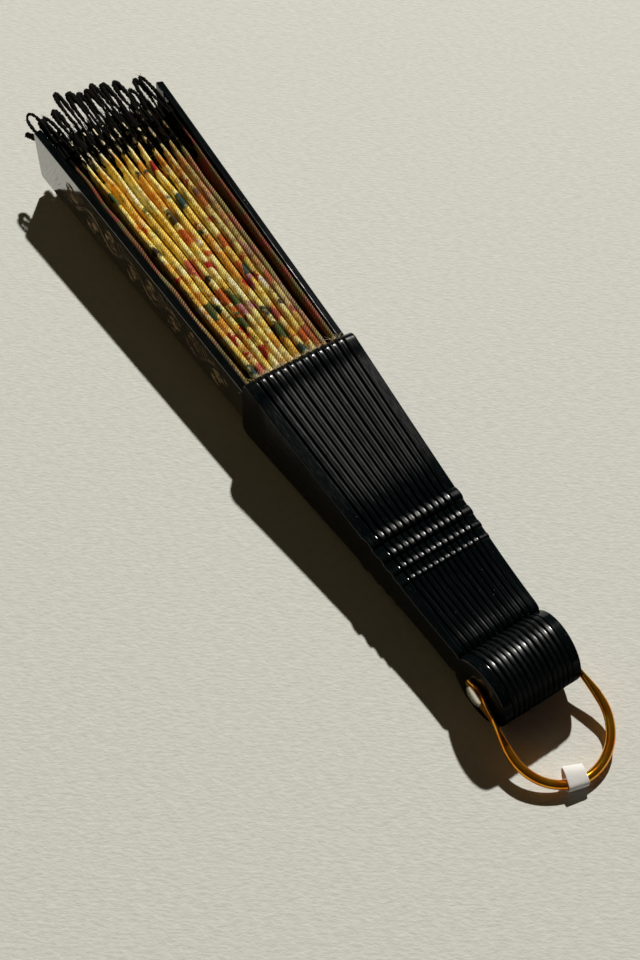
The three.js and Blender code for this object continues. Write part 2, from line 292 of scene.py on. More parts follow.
# Plated metal: clouds of wear in its colour and a fine grain in its polish
def wornMetal(name, clouds, grains, wear, colours, rough, nap, **gloss):
    finish, tone, shader = startFinish(name, **gloss)
    place = objectPlace(tone)
    worn, grain = noiseOn(tone, place, clouds), noiseOn(tone, place, grains, detail=2.0)
    feed(shader,
         Base_Color=worn.step(*wear).over(*colours),
         Roughness=rough[0] + grain * rough[1] + worn.step(0.55, 0.75) * rough[2],
         Normal=bumpOf(tone, grain, nap, distance=0.0001))
    return finish


# Paper, thread or cord: one noise gives its colours, its roughness and its nap
def fibrous(name, scale, detail, colours, rough, nap, **gloss):
    finish, tone, shader = startFinish(name, **gloss)
    fibre = noiseOn(tone, objectPlace(tone), scale, detail)
    feed(shader, Base_Color=fibre.over(*colours), Roughness=rough[0] + fibre * rough[1])
    if nap:
        feed(shader, Normal=bumpOf(tone, fibre, *nap))
    return finish


# Gilt line on the guards, rubbed thin in places
def giltLine():
    finish, tone, shader = startFinish("giltLine", Metallic=1.0)
    place = objectPlace(tone)
    rubbed = noiseOn(tone, place, scale=300.0).step(0.35, 0.65)
    feed(shader,
         Base_Color=rubbed.over(colour(0.07, 0.045, 0.025), colour(0.36, 0.24, 0.12)),
         Roughness=0.5 - rubbed * 0.2)
    return finish


# Printed cotton twill: a yellow, cream and orange ground with loose coloured patches
twill = dict(
    ground=[(0.0, (0.9, 0.84, 0.5)), (0.18, (0.88, 0.77, 0.27)), (0.36, (0.84, 0.55, 0.1)),
            (0.5, (0.9, 0.75, 0.23)), (0.64, (0.86, 0.78, 0.33)), (0.8, (0.7, 0.31, 0.05)),
            (1.0, (0.86, 0.62, 0.14))],
    patches=[(0.0, (0.4, 0.012, 0.018)), (0.17, (0.52, 0.1, 0.08)), (0.28, (0.006, 0.06, 0.065)),
             (0.42, (0.05, 0.1, 0.03)), (0.54, (0.84, 0.82, 0.66)), (0.64, (0.02, 0.016, 0.012)),
             (0.76, (0.56, 0.12, 0.03)), (0.9, (0.5, 0.19, 0.23))],
    speckle=colour(0.5, 0.2, 0.04), underLace=colour(0.82, 0.74, 0.5), hem=colour(0.74, 0.66, 0.42),
    olive=colour(0.1, 0.1, 0.035), wine=colour(0.27, 0.03, 0.045), deep=colour(0.012, 0.014, 0.009),
    fleck=colour(0.13, 0.05, 0.015), threadHighlight=colour(0.55, 0.45, 0.2), cell=12.0, weave=44.0,
)


def printedTwill():
    finish, tone, shader = startFinish("printedTwill", Specular_IOR_Level=0.2)
    cloth = tone.node("ShaderNodeUVMap", {"uv_map": "cloth"})
    run = tone.node("ShaderNodeSeparateXYZ", None, {0: cloth}, 1)
    loose = wandering(tone, cloth, cloth, scale=22.0, amount=0.09)
    wide = noiseOn(tone, cloth, scale=3.1, detail=1.0) * 0.55
    wide += noiseOn(tone, cloth, scale=7.5, detail=2.0) * 0.45
    ground = tone.node("ShaderNodeValToRGB", {"stops": twill["ground"]}, {"Fac": wide.step(0.32, 0.68)})
    cells = {"Vector": loose, "Scale": twill["cell"], "Randomness": 1.0}
    pick = tone.node("ShaderNodeTexVoronoi", None, cells, "Color")
    reach = tone.node("ShaderNodeTexVoronoi", None, cells, "Distance")
    chance = tone.node("ShaderNodeSeparateColor", None, {0: pick}, 0)
    kind = tone.node("ShaderNodeSeparateColor", None, {0: pick}, 1)
    patch = tone.node("ShaderNodeValToRGB", {"stops": twill["patches"], "rampKind": "CONSTANT"},
                      {"Fac": kind})
    broken = noiseOn(tone, cloth, scale=90.0, detail=3.0)
    # dusk darkens chosen pleats: partly a darker olive and wine print with more patches, partly painted
    # shade on pleats that lie low beside the guards
    dusk = attributeOn(tone, "dusk")
    near = (2.1 - run).step(0.0, 1.05)
    crowd = chance + near * 0.72 + dusk * 0.9
    mask = (1 - (reach + broken * 0.5 - near * 0.1).step(0.55, 0.72)) * crowd.step(0.74, 0.8)
    speckle = noiseOn(tone, cloth, scale=55.0, detail=2.0).step(0.56, 0.72)
    mottled = (speckle * (0.3 + near * 0.3)).over(ground, twill["speckle"])
    printed = (mask * 0.98).over(mottled, patch)
    pale = run.step(1.96, 2.02).over(printed, twill["underLace"])
    hem = attributeOn(tone, "hem")
    dark = noiseOn(tone, cloth, scale=14.0, detail=2.0).step(0.44, 0.56).over(twill["olive"], twill["wine"])
    # near the top of its range the pleat goes almost black: painted shadow
    deep = dusk.step(0.7, 0.95).over(dark, twill["deep"])
    printShadeDarkened = dusk.step(0.0, 0.6).over(pale, deep)
    turned = tone.node("ShaderNodeMapping", None, {"Vector": cloth, "Rotation": (0, 0, 0.9)})
    rib = tone.node("ShaderNodeTexWave", {"wave_profile": "SIN"},
                    {"Vector": turned, "Scale": twill["weave"], "Distortion": 1.0, "Detail": 2.0,
                     "Detail Scale": 3.0}, "Fac")
    fuzz = noiseOn(tone, cloth, scale=700.0, detail=3.0)
    shade = rib.step(0.05, 0.55)
    flecks = noiseOn(tone, cloth, scale=48.0, detail=4.0, rough=0.7).step(0.48, 0.58) * (0.42 + dusk * 0.9)
    flecked = flecks.over(printShadeDarkened, twill["fleck"])
    # painted highlight: lighter olive on the twill ribs of the darkened pleats
    dim = dusk.step(0.15, 0.5) * (1 - dusk.step(0.62, 0.9))
    threads = (dim * shade * 0.3).over(flecked, twill["threadHighlight"])
    raw = hem.over(threads, twill["hem"])
    bright = 1.0 + shade * 0.44 + fuzz * 0.36 - near * 0.44
    thread = tone.node("ShaderNodeHueSaturation", None,
                       {"Saturation": 1.12 - shade * 0.12, "Value": bright, "Color": raw})
    feed(shader,
         Base_Color=thread,
         Roughness=0.78 + fuzz * 0.2,
         Normal=bumpOf(tone, shade + fuzz * 0.8, strength=0.7, distance=0.0003))
    return finish


# Black lace: an open net whose holes show the cloth
def laceNet():
    finish, tone, shader = startFinish("laceNet", Specular_IOR_Level=0.06)
    cloth = tone.node("ShaderNodeUVMap", {"uv_map": "cloth"})
    drawn = tone.node("ShaderNodeMapping", None, {"Vector": cloth, "Scale": (1.0, 0.36, 1.0)})
    loose = wandering(tone, cloth, drawn, scale=120.0, amount=0.012)
    mesh = tone.node("ShaderNodeTexVoronoi", {"feature": "DISTANCE_TO_EDGE"},
                     {"Vector": loose, "Scale": 50.0}, "Distance")
    fuzz = noiseOn(tone, cloth, scale=600.0, detail=4.0)
    thick = noiseOn(tone, cloth, scale=40.0, detail=2.0)
    hole = (mesh + fuzz * 0.1 - thick * 0.31).step(0.06, 0.1)
    feed(shader,
         Base_Color=fuzz.over(colour(0.0008, 0.0008, 0.0007), colour(0.006, 0.0055, 0.004)),
         Roughness=0.7 + fuzz * 0.25,
         Alpha=1 - hole,
         Normal=bumpOf(tone, fuzz, strength=0.6, distance=0.0003))
    return finish


def paleFloor():
    finish, tone, shader = startFinish("paleFloor", Roughness=0.85)
    place = objectPlace(tone)
    grain = noiseOn(tone, place, scale=420.0, detail=4.0)
    across = tone.node("ShaderNodeMapping", {"vector_type": "TEXTURE"},
                       {"Vector": place, "Rotation": (0, 0, 0.949), "Scale": (1 / 520, 1 / 1300, 1 / 520)})
    ripple = noiseOn(tone, across, scale=1.0, detail=3.0)
    feed(shader,
         Base_Color=grain.over(colour(0.635, 0.642, 0.596), colour(0.785, 0.793, 0.737)),
         Normal=bumpOf(tone, grain * 0.8 + ripple, strength=0.34, distance=0.0005))
    return finish


finishes = dict(
    moulding=blackMoulding("blackMoulding", Specular_IOR_Level=0.22),
    lacquer=blackMoulding("blackLacquer", IOR=1.6, Coat_Weight=1.0, Coat_Roughness=0.03, Coat_IOR=1.7),
    gold=wornMetal("goldPlate", clouds=180.0, grains=1400.0, wear=(0.3, 0.7),
                   colours=(colour(0.96, 0.28, 0.006), colour(1.0, 0.48, 0.035)),
                   rough=(0.1, 0.12, 0.1), nap=0.12, Metallic=0.9),
    rivet=wornMetal("paleRivet", clouds=320.0, grains=2200.0, wear=(0.35, 0.7),
                    colours=(colour(0.86, 0.78, 0.6), colour(0.95, 0.91, 0.8)),
                    rough=(0.2, 0.2, 0.0), nap=0.15, Metallic=1.0),
    gilt=giltLine(), cotton=printedTwill(), net=laceNet(), floor=paleFloor(),
    tape=fibrous("whiteTape", scale=900.0, detail=4.0, rough=(0.45, 0.25), nap=(0.3, 0.0001),
                 colours=(colour(0.88, 0.865, 0.83), colour(0.97, 0.96, 0.93))),
    thread=fibrous("creamThread", scale=800.0, detail=3.0, rough=(0.75, 0.2), nap=None,
                   colours=(colour(0.62, 0.53, 0.32), colour(0.85, 0.78, 0.56)), Specular_IOR_Level=0.2),
    cord=fibrous("laceCord", scale=1300.0, detail=4.0, rough=(0.7, 0.25), nap=(0.8, 0.0004),
                 colours=(colour(0.0008, 0.0008, 0.0007), colour(0.009, 0.0085, 0.006)),
                 Specular_IOR_Level=0.06),
)
print("finishes mixed:", len(finishes))


def intoScene(bm, name, coats):
    mesh = bpy.data.meshes.new(name)
    bm.to_mesh(mesh)
    bm.free()
    for coat in coats:
        mesh.materials.append(finishes[coat])
    return newObject(name, mesh)


floorReach = 2.5


def layFloor():
    bm = bmesh.new()
    bmesh.ops.create_grid(bm, x_segments=2, y_segments=2, size=floorReach)
    intoScene(bm, "paleFloor", ["floor"])


layFloor()


# A finished piece: its place goes into the mesh, and it goes into the scene with its finishes
def makePiece(bm, name, coats, place=lie):
    bmesh.ops.transform(bm, matrix=place, verts=bm.verts)
    piece = intoScene(bm, name, coats)
    return piece


def settle(piece, body, node):
    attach(piece, body)
    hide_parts(node)


def gather(bm, other):
    spare = bpy.data.meshes.new("spare")
    other.to_mesh(spare)
    other.free()
    bm.from_mesh(spare)
    bpy.data.meshes.remove(spare)


def picked(parts, kind):
    return [part for part in parts if isinstance(part, kind)]


# Smooths every face, or only those with few corners
def smoothFaces(bm, most=math.inf):
    for face in bm.faces:
        face.smooth = len(face.verts) <= most


# Draws a row of edges out by one step and hands back the new row
def drawOut(bm, row, step):
    grown = bmesh.ops.extrude_edge_only(bm, edges=row)["geom"]
    verts = picked(grown, BMVert)
    bmesh.ops.translate(bm, verts=verts, vec=step)
    return verts, picked(grown, BMEdge)


# A plate from an outline in X and Z, with its two rims rounded
creases = dict(along=0.1, across=0.6, level=1e-4)


def plate(outline, thickness, rim, segments=3):
    bm = bmesh.new()
    face = bm.faces.new([bm.verts.new((x, -thickness / 2, z)) for x, z in outline])
    grown = bmesh.ops.extrude_face_region(bm, geom=[face])
    bmesh.ops.translate(bm, verts=picked(grown["geom"], BMVert), vec=(0, thickness, 0))
    bmesh.ops.recalc_face_normals(bm, faces=bm.faces[:])
    caps = [face for face in bm.faces if len(face.verts) > 4]
    rims = list(dict.fromkeys(edge for face in caps for edge in face.edges))
    bmesh.ops.bevel(bm, geom=rims, offset=rim, offset_type="OFFSET", segments=segments,
                    profile=0.5, affect="EDGES", clamp_overlap=False, material=-1)
    smoothFaces(bm, most=4)
    for edge in bm.edges:
        along = abs(edge.verts[0].co.y - edge.verts[1].co.y) < creases["level"]
        edge.smooth = edge.calc_face_angle(0.0) < creases["along" if along else "across"]
    return bm


# The two mould halves meet along the middle of a stick's edge, which stands a little proud there
def partingLine(bm, proud):
    seam = bm.verts.layers.float.new("seam")
    geometry = bm.verts[:] + bm.edges[:] + bm.faces[:]
    cut = bmesh.ops.bisect_plane(bm, geom=geometry, plane_co=(0, 0, 0), plane_no=(0, 1, 0))["geom_cut"]
    bm.normal_update()
    for vert in picked(cut, BMVert):
        vert.co += vert.normal * proud
        vert[seam] = 1.0
    for edge in picked(cut, BMEdge):
        edge.smooth = False


def lean(bm, thickness, middleAt, thicknessAt):
    for vert in bm.verts:
        x = vert.co.x
        vert.co.y = middleAt(x) + vert.co.y / thickness * thicknessAt(x)


def arc(centre, reach, rise, start, end, steps):
    turns = [between(start, end, n / steps) for n in range(steps + 1)]
    return [(centre[0] + reach * math.cos(turn), centre[1] + rise * math.sin(turn)) for turn in turns]


def curveTo(start, control, end, steps):
    shares = [n / steps for n in range(1, steps)]
    corners = list(zip(start, control, end))
    return [tuple((1 - s) ** 2 * a + 2 * s * (1 - s) * b + s * s * c for a, b, c in corners)
            for s in shares]


# Handle of a stick: round head, neck groove, shank, bead rows, flare and shoulder
handle = dict(
    neckHalf=4.1, crestAt=11.4, crestHalf=5.25, crestPull=0.2, waistAt=21.0, waistHalf=4.7,
    beadRows=4, largestBeadAt=47.0, beadLength=4.4, beadRise=0.95, beadShrink=0.76, beadGap=1.6,
    beadTilt=0.17, beadRound=3.2, beadSteps=14, smallBeadHalf=5.6, largeBeadHalf=6.6,
    flareAt=80.0, flareHalf=9.4, blank=1.5, rim=0.2, guardBlank=3.0, guardRim=0.32,
    draft=0.42, draftSlope=0.09, seamProud=(0.015, 0.06), tip=(-0.011, 0.011), lift=(0.06, 0.24),
)


def layBeads():
    rows = []
    middle = handle["largestBeadAt"]
    for row in range(handle["beadRows"]):
        size = handle["beadShrink"] ** row
        reach = handle["beadLength"] * size / 2
        rows.insert(0, (middle, reach, handle["beadRise"] * size))
        middle -= reach * (1 + handle["beadShrink"]) + handle["beadGap"]
    return rows


beads = layBeads()


def handleEdge():
    head, shoulder = stack["headRadius"], stack["shoulderRound"]
    points = arc((0, 0), head, head, math.pi, math.asin(handle["neckHalf"] / head), steps=32)
    first, last = beads[0][0] - beads[0][1], beads[-1][0] + beads[-1][1]
    halves = handle["smallBeadHalf"], handle["largeBeadHalf"]
    edgeAt = lambda x: between(*halves, (x - first) / (last - first))
    crest = (handle["crestAt"], handle["crestHalf"])
    pull = (points[-1][0] + handle["crestPull"], handle["crestHalf"])
    points += curveTo(points[-1], pull, crest, steps=6) + [crest]
    waist = (handle["waistAt"], handle["waistHalf"])
    points += curveTo(crest, waist, (first, edgeAt(first)), steps=10)
    for middle, reach, rise in beads:
        for n in range(handle["beadSteps"] + 1):
            share = between(-1.0, 1.0, n / handle["beadSteps"])
            x = middle + reach * share
            tilt = handle["beadTilt"] * reach * share * (1 - share ** 4)
            points.append((x, edgeAt(x) + rise * (1 - abs(share) ** handle["beadRound"]) - tilt))
    flare = (handle["flareAt"], handle["flareHalf"])
    points += curveTo(points[-1], flare, (cornerX, stack["shoulderHalf"]), steps=40)
    points += arc((cornerX, cornerZ), shoulder, shoulder, math.pi / 2, 0, steps=8)
    return points


def mirrored(edge):
    return edge + [(x, -z) for x, z in reversed(edge) if abs(z) > 1e-6]


handleOutline = mirrored(handleEdge())


# Where hands rub the gloss off, and how much: head, bead tops, and bands that come and go along a stick.
# The lower back of the head also gets a glossless matte black there, as painted shade.
rubbing = dict(
    headEnd=(8.6, 9.6), head=0.55, headShadeMatte=0.92, shadeMatteTurn=(0.55, 1.15),
    bands=[(0.8, (10.2, 11.4), (12.5, 17.0)), (1.2, (97.0, 101.0), (104.4, 104.6)),
           (1.8, (52.0, 64.0), (92.0, 99.0))],
    bead=0.7, beadShare=0.95, brightSeam=2.6, seam=0.1, stickWear=(0.7, 1.3), guardWear=0.4,
)


def rubAway(bm, wear):
    rubbed = bm.verts.layers.float.new("rubbed")
    dull = bm.verts.layers.float.new("dull")
    seam = bm.verts.layers.float.get("seam")
    for vert in bm.verts:
        x, z = vert.co.x, vert.co.z
        onHead = 1 - ease(x, *rubbing["headEnd"])
        # painted shade: the head's lower back, turned away from the top, goes matte black
        vert[dull] = onHead * rubbing["headShadeMatte"] * ease(math.atan2(-x, z), *rubbing["shadeMatteTurn"])
        amount = onHead * rubbing["head"]
        for most, comes, goes in rubbing["bands"]:
            amount += most * ease(x, *comes) * (1 - ease(x, *goes))
        onBead = any(abs(x - middle) < reach * rubbing["beadShare"] for middle, reach, _ in beads)
        amount += rubbing["bead"] * onBead
        if seam and vert[seam] > 0.5:
            vert[rubbed] = amount * rubbing["brightSeam" if onBead or onHead > 0.5 else "seam"]
        else:
            vert[rubbed] = amount * wear


def handleThickness(x):
    return between(stack["stick"], stack["stickShoulder"], x / stack["shoulderAt"])


def guardThickness(x):
    return between(stack["guard"], stack["guardShoulder"], x / stack["shoulderAt"])


slip = dict(rootAt=96.5, rootHalf=2.6, endAt=212.0, endHalf=2.0, rim=0.25)


def innerStick(place):
    dice = random.Random(seeds["stick"] + place)
    middleAt = lambda x: planeAt(place, x)
    bm = plate(handleOutline, handle["blank"], handle["rim"])
    partingLine(bm, dice.uniform(*handle["seamProud"]))
    lean(bm, handle["blank"], middleAt, handleThickness)
    edge = [(slip["rootAt"], slip["rootHalf"]), (stack["shoulderAt"], slip["rootHalf"]),
            (slip["endAt"] - slip["endHalf"], slip["endHalf"]),
            (slip["endAt"], slip["endHalf"] / 2)]
    tongue = plate(mirrored(edge), stack["slip"], slip["rim"], segments=2)
    lean(tongue, stack["slip"], middleAt, lambda x: stack["slip"])
    gather(bm, tongue)
    # no two sticks sit quite alike: each tips and lifts a hair's breadth
    tip, lift = dice.uniform(*handle["tip"]), dice.uniform(*handle["lift"])
    for vert in bm.verts:
        vert.co.y += vert.co.z * tip
        vert.co.z += lift
    rubAway(bm, random.Random(seeds["wear"] + place).uniform(*rubbing["stickWear"]))
    stick = makePiece(bm, "moulded_" + bodies[place], ["moulding"])
    settle(stick, bodies[place], bodies[place])


blade = dict(
    rootAt=96.5, rootHalf=7.0, tipAt=220.0, tipHalf=10.2, tipRound=1.5,
    rim=0.35, draft=0.06, polishedFrom=0.9,
)


def guardStick(place):
    outward = 1 if place == 0 else -1
    innerFace = lambda x: planeAt(place, x) - outward * handleThickness(x) / 2
    blank, thick, rounding = handle["guardBlank"], stack["blade"], blade["tipRound"]
    bm = plate(handleOutline, blank, handle["guardRim"], segments=4)
    # the outer face is a little smaller, for the mould
    for vert in bm.verts:
        draft = min(abs(vert.co.z) * handle["draftSlope"], handle["draft"])
        draft *= 0.5 + outward * vert.co.y / blank
        vert.co.z -= math.copysign(draft, vert.co.z)
    lean(bm, blank, lambda x: innerFace(x) + outward * guardThickness(x) / 2, guardThickness)
    edge = [(blade["rootAt"], blade["rootHalf"]), (stack["shoulderAt"], blade["rootHalf"])]
    edge += arc((blade["tipAt"] - rounding, blade["tipHalf"] - rounding), rounding, rounding,
                math.pi / 2, 0, steps=6)
    cover = plate(mirrored(edge), thick, blade["rim"], segments=4)
    for vert in cover.verts:
        vert.co.z *= 1 - blade["draft"] * (0.5 + outward * vert.co.y / thick)
    lean(cover, thick, lambda x: planeAt(place, x) + outward * thick / 2, lambda x: thick)
    gather(bm, cover)
    rubAway(bm, rubbing["guardWear"])
    bm.normal_update()
    for face in bm.faces:
        onBlade = face.calc_center_median().x > stack["shoulderAt"]
        polished = onBlade and face.normal.y * outward > blade["polishedFrom"]
        face.material_index = 1 if polished else 0
    guard = makePiece(bm, "moulded_" + bodies[place], ["moulding", "lacquer"])
    settle(guard, bodies[place], bodies[place])


for place in range(1, gaps):
    innerStick(place)
guardStick(0)
guardStick(gaps)
print("sticks and guards moulded:", gaps + 1)


# Threads, cords and drawn lines: round strands along points, as one bmesh in millimetres
def strands(paths, depth, rounds, smooth):
    line = bpy.data.curves.new("strands", "CURVE")
    line.dimensions = "3D"
    line.bevel_depth = depth
    line.bevel_resolution = rounds
    line.use_fill_caps = True
    for points, widths in paths:
        spline = line.splines.new("NURBS")
        spline.points.add(len(points) - 1)
        for knot, point, width in zip(spline.points, points, widths):
            knot.co = (*point, 1)
            knot.radius = width
        spline.order_u = 3
        spline.use_endpoint_u = True
        spline.resolution_u = smooth
    spun = newObject("strands", line)
    bpy.context.view_layer.update()
    mesh = bpy.data.meshes.new_from_object(spun.evaluated_get(bpy.context.evaluated_depsgraph_get()))
    bpy.data.objects.remove(spun)
    bpy.data.curves.remove(line)
    bm = bmesh.new()
    bm.from_mesh(mesh)
    bpy.data.meshes.remove(mesh)
    smoothFaces(bm)
    return bm


# Gilt scrolls on the outer faces of the blades: a waving stem with curled branches and small fronds
scroll = dict(
    startAt=112.0, endAt=206.0, step=1.6, wave=23.0, swing=3.4, stemGap=0.5,
    curl=4.2, curlStart=0.9, turns=1.5, curlIn=0.78, curlSteps=25, curlDrop=2.6, lines=8, spacing=0.33,
    fronds=5, frondGap=1.5, frondShift=5.2, frondLength=3.4, frondRise=2.8, frondGrowth=0.5, frondBend=1.4,
    frondStations=(0, 0.3, 0.6, 0.85, 1.0), edge=0.9, depth=0.065,
)


def stemAt(x):
    return scroll["swing"] * math.sin(2 * math.pi * (x - scroll["startAt"]) / scroll["wave"])


def scrollCurl(middleX, side, reach):
    path = []
    for n in range(scroll["curlSteps"] + 1):
        share = n / scroll["curlSteps"]
        turn = side * (math.pi * scroll["curlStart"] - share * scroll["turns"] * 2 * math.pi)
        radius = reach * (1 - scroll["curlIn"] * share)
        z = radius * math.sin(turn) - side * scroll["curlDrop"]
        path.append((middleX + radius * math.cos(turn), z))
    return path


def scrollFrond(rootX, side, place):
    rise = side * (scroll["frondRise"] + scroll["frondGrowth"] * place)
    return [(rootX + s * scroll["frondLength"], stemAt(rootX) + rise * math.sin(s * scroll["frondBend"]))
            for s in scroll["frondStations"]]


def scrollPaths():
    length, half = scroll["endAt"] - scroll["startAt"], scroll["wave"] / 2
    xs = [scroll["startAt"] + n * scroll["step"] for n in range(int(length / scroll["step"]))]
    paths = [[(x, stemAt(x) + line * scroll["stemGap"]) for x in xs] for line in (-1, 0, 1)]
    for n in range(int(length / half)):
        side = -1 if n % 2 else 1
        middleX = scroll["startAt"] + (n + 0.5) * half
        for line in range(scroll["lines"]):
            paths.append(scrollCurl(middleX, side, scroll["curl"] - line * scroll["spacing"]))
        for frond in range(scroll["fronds"]):
            rootX = middleX + (frond - scroll["fronds"] // 2) * scroll["frondGap"] + scroll["frondShift"]
            paths.append(scrollFrond(rootX, side, frond))
    return paths


def giltScrolls(place):
    outward = 1 if place == 0 else -1
    faceAt = lambda x: planeAt(place, x) + outward * stack["blade"]
    shareAt = lambda x: (x - stack["shoulderAt"]) / (blade["tipAt"] - stack["shoulderAt"])
    halfAt = lambda x: between(blade["rootHalf"], blade["tipHalf"], shareAt(x)) - scroll["edge"]
    paths = []
    for path in scrollPaths():
        points = [(x, faceAt(x), min(max(z, -halfAt(x)), halfAt(x))) for x, z in path]
        paths.append((points, [0.5] + [1.0] * (len(points) - 2) + [0.5]))
    bm = strands(paths, scroll["depth"], rounds=0, smooth=3)
    scrolls = makePiece(bm, "gilt_scrolls_" + bodies[place], ["gilt"])
    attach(scrolls, bodies[place])


giltScrolls(0)
giltScrolls(gaps)
print("gilt scrolls drawn")


# Cloth leaf: in each gap a glued panel with a rolled ridge, and a free panel that goes to the next stick
leaf = dict(
    startAt=105.0, endAt=212.0, cut=0.107, stations=84, rollSteps=16, flankSteps=7, thick=0.00022,
    ridgeRoot=7.3, ridgeEnd=9.4, valleyRoot=4.2, valleyEnd=10.2, sinkFrom=0.35,
    flank=0.42, flankRoom=0.06, footRise=1.2, turnShare=0.7, turnRise=0.35, guardRoom=0.25,
    roll=2.7, rollWide=1.08, rollTip=0.68, rollEase=(160, 208), rollRoom=0.05,
    sway=0.6, leanEase=(150, 210), bendTilt=0.03,
    sink={1: (2.2, 1.7), 12: (1.8, 0.7), 13: (-0.4, -0.2)},
    aside={12: -0.2, 13: 0.2}, narrow={12: 0.85, 13: 0.8},
    # pleats darkened along the leaf, partly by a darker print and partly by painted shade
    dusk={1: (0.3, 0.8), 9: (0.0, 0.12), 10: (0.1, 0.26), 11: (0.24, 0.4),
          12: (0.42, 0.55), 13: (0.74, 0.82)},
    shadeAndDarkPrintEase=(112, 165), hemEase=(105.4, 107.6), printShift=46.0, printScale=100,
)
leafStations = [between(leaf["startAt"], leaf["endAt"], n / leaf["stations"])
                for n in range(leaf["stations"] + 1)]

# No two pleats lie alike: each lifts and leans in its own way, and half its ripples go up, half aside
ripple = dict(up=3, aside=3, size=(0.05, 0.22), length=(16, 46), phase=(0, 6.28), turn=6.28,
              lift=(-0.9, 0.45), lean=(-0.4, 0.4), width=(0.86, 1.0))
wobble = random.Random(seeds["pleats"])
pleatRipple = [[[wobble.uniform(*ripple[key]) for key in ("size", "length", "phase")]
                for _ in range(ripple["up"] + ripple["aside"])] for _ in range(gaps + 1)]
pleatLift, pleatLean, pleatWide = ([wobble.uniform(*ripple[key]) for _ in range(gaps + 1)]
                                   for key in ("lift", "lean", "width"))


def rippleAt(x, waves):
    return sum(size * math.sin(x / length * ripple["turn"] + phase) for size, length, phase in waves)


def leafShare(x):
    return (x - leaf["startAt"]) / (leaf["endAt"] - leaf["startAt"])


def ridgeAt(pleat, x):
    share = leafShare(x)
    ridge = between(leaf["ridgeRoot"], leaf["ridgeEnd"], share) + pleatLift[pleat]
    deep, tip = leaf["sink"].get(pleat, (0.0, 0.0))
    ridge -= between(deep, tip, ease(share, leaf["sinkFrom"], 1.0))
    return ridge + rippleAt(x, pleatRipple[pleat][:ripple["up"]])


def valleyAt(x):
    return -between(leaf["valleyRoot"], leaf["valleyEnd"], leafShare(x))


# Section of a fold across the gap: offset from the gap's middle plane towards the next stick, and height
def foldSection(pleat, x, proud=0.0):
    half, valley, flank = pitchAt(x) / 2, valleyAt(x), leaf["flank"]
    roll = between(leaf["rollWide"], leaf["rollTip"], ease(x, *leaf["rollEase"])) * pleatWide[pleat]
    roll = max(flank + leaf["flankRoom"], roll * leaf["narrow"].get(pleat, 1.0))
    roll = min(half - leaf["rollRoom"], roll)
    rise = leaf["roll"] / 2
    centre = ridgeAt(pleat, x) - rise
    drop = math.acos(flank / roll)
    aside = rippleAt(x, pleatRipple[pleat][ripple["up"]:]) * leaf["sway"]
    aside += pleatLean[pleat] * ease(x, *leaf["leanEase"])
    aside = min(max(aside + leaf["aside"].get(pleat, 0.0), roll - half), half - roll)
    crown = []
    for n in range(leaf["rollSteps"] + 1):
        turn = between(math.pi + drop, -drop, n / leaf["rollSteps"])
        crown.append((aside + (roll + proud) * math.cos(turn), centre + (rise + proud) * math.sin(turn)))
    low, foot = crown[0][1], valley + leaf["footRise"]
    shares = [n / leaf["flankSteps"] for n in range(leaf["flankSteps"])]
    turnShare, turnAt = leaf["turnShare"], valley + leaf["turnRise"]
    gluedFoot = -half + (leaf["guardRoom"] if pleat == 1 else 0.0)
    freeFoot = half - (leaf["guardRoom"] if pleat == gaps else 0.0)
    glued = [(gluedFoot, valley), (between(gluedFoot, -flank, turnShare) - proud, turnAt)]
    glued += [(between(-flank, crown[0][0], s) - proud * (1 - s), between(foot, low, s)) for s in shares]
    glued += crown
    free = [(between(crown[-1][0], flank, s) + proud * s, between(low, foot, s)) for s in shares + [1.0]]
    free += [(between(freeFoot, flank, turnShare) + proud, turnAt), (freeFoot, valley)]
    return glued, free


def middleOf(pleat, x):
    return (planeAt(pleat - 1, x) + planeAt(pleat, x)) / 2


# A sheet from rows of points: a grid is laid out and each of its points is moved to its place
def layCloth(rows, places, extras):
    along, across = len(rows), len(rows[0])
    bm = bmesh.new()
    bmesh.ops.create_grid(bm, x_segments=across - 1, y_segments=along - 1, size=1.0)
    cloth = bm.loops.layers.uv.new("cloth")
    layers = {key: bm.verts.layers.float.new(key) for key in extras}
    spots = {}
    for vert in bm.verts:
        column = round((vert.co.x + 1) / 2 * (across - 1))
        row = round((vert.co.y + 1) / 2 * (along - 1))
        spots[vert] = places[row][column]
        vert.co = rows[row][column]
        for key, amount in extras.items():
            vert[layers[key]] = amount(vert.co)
    smoothFaces(bm)
    for face in bm.faces:
        for corner in face.loops:
            corner[cloth].uv = spots[corner.vert]
    return bm


# Each pleat has a fold, glued to its own stick, and a turn, free to the next stick
panels = ("fold", "turn")


def faceOut(bm, panel):
    bm.normal_update()
    if panel == "fold":
        inward = max(bm.faces, key=lambda face: face.calc_center_median().z).normal.z < 0
    else:
        inward = sum(face.normal.y * face.calc_area() for face in bm.faces) > 0
    if inward:
        bmesh.ops.reverse_faces(bm, faces=bm.faces[:])


# A turn stays where it was laid, its place baked into its mesh; the hinge point worked out from its lowest
# crown is not used
def bendFree(piece, pleat):
    startAt, tilt = leaf["startAt"], leaf["bendTilt"]
    heights = [foldSection(pleat, x)[1][0][1] - valleyAt(startAt) + tilt * (x - startAt)
               for x in leafStations]
    foot = Vector((startAt, middleOf(pleat, startAt), valleyAt(startAt)))
    top = foot + Vector((tilt, 0, 1)) * (min(heights) / (1 + tilt * tilt))
    lie @ top
    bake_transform(piece)


def carry(piece, pleat, panel, node):
    if panel == "fold":
        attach(piece, bodies[pleat - 1])
    else:
        bendFree(piece, pleat)
    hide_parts(node % pleat)


def runLengths(points):
    total, lengths = 0.0, [0.0]
    for a, b in zip(points, points[1:]):
        total += math.dist(a, b)
        lengths.append(total)
    return lengths


